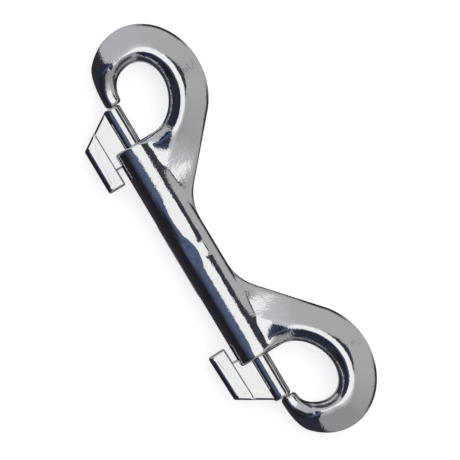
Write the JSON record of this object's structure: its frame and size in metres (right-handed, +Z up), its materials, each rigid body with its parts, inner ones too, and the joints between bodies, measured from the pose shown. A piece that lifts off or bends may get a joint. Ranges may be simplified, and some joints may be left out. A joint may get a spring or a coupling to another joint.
{
  "type": "double ended bolt snap",
  "caption": "Die cast snap with a closed hook at each end of a round barrel, each gated by a spring-loaded bolt drawn back by a thumb latch.",
  "frame": {"origin": "on the surface the snap lies on, under the middle of its bounding box, halfway between the two mouths of the barrel", "axes": "+X along the barrel to the right-hand hook, +Y from the thumb latches to the backs of the hooks, +Z up from the surface"},
  "size_m": [0.115, 0.0362, 0.0105],
  "materials": {
    "plated_casting": "bright plated zinc die casting",
    "plated_bolt": "bright plated zinc die casting",
    "spring_steel": "drawn spring wire"
  },
  "bodies": {
    "body": {"body": "plated_casting", "left_spring": "spring_steel", "right_spring": "spring_steel"},
    "left_bolt": {"left_bolt": "plated_bolt"},
    "right_bolt": {"right_bolt": "plated_bolt"}
  },
  "joints": [
    {"name": "left_bolt_slide", "type": "slide", "parent": "body", "child": "left_bolt", "axis": [1, 0, 0], "range_m": [0, 0.0118], "stiffness_N_per_m": 250, "springref_m": -0.004, "deforming": ["left_spring"]},
    {"name": "right_bolt_slide", "type": "slide", "parent": "body", "child": "right_bolt", "axis": [-1, 0, 0], "range_m": [0, 0.0118], "stiffness_N_per_m": 250, "springref_m": -0.004, "deforming": ["right_spring"]}
  ]
}
